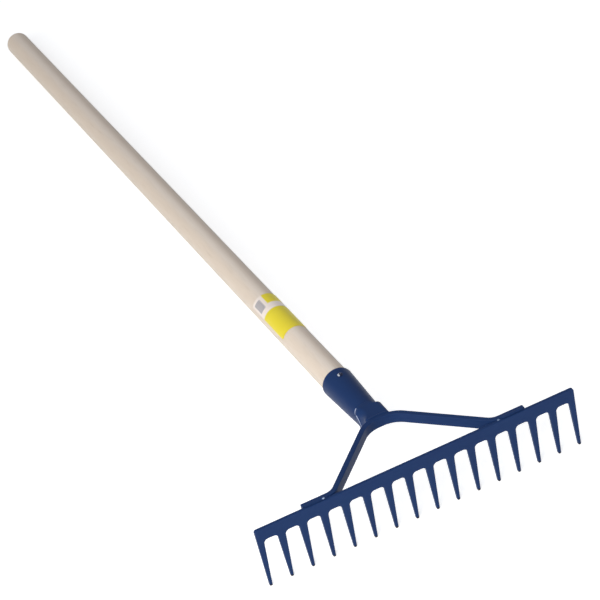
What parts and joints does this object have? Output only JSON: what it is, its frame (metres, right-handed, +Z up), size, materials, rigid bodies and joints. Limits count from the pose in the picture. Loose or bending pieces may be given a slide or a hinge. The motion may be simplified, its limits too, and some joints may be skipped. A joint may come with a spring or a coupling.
{
  "type": "contractor rake",
  "caption": "Long-handled contractor's rake: a flat toothed steel head on a V-shaped bar brace, with a conical socket and a round wooden handle.",
  "frame": {"origin": "below the middle of the rake's box, on the surface that it lies on with its tooth tips and its handle's end", "axes": "+X along the head, +Y from the tooth plate to the handle's end, +Z up, away from the tooth tips"},
  "size_m": [0.3998, 1.43, 0.0811],
  "materials": {
    "painted_steel": "semi-gloss enamel, navy blue",
    "wood": "turned and sanded, unvarnished",
    "label": "printed paper label, satin"
  },
  "bodies": {
    "root": {"tooth_plate": "painted_steel", "brace_bar": "painted_steel", "neck": "painted_steel", "socket": "painted_steel", "handle": "wood", "socket_nail": "painted_steel", "label": "label", "weld_foot_left_top": "painted_steel", "weld_foot_left_under": "painted_steel", "weld_foot_right_top": "painted_steel", "weld_foot_right_under": "painted_steel", "weld_neck_top": "painted_steel", "weld_neck_under": "painted_steel", "weld_socket": "painted_steel"}
  },
  "joints": []
}
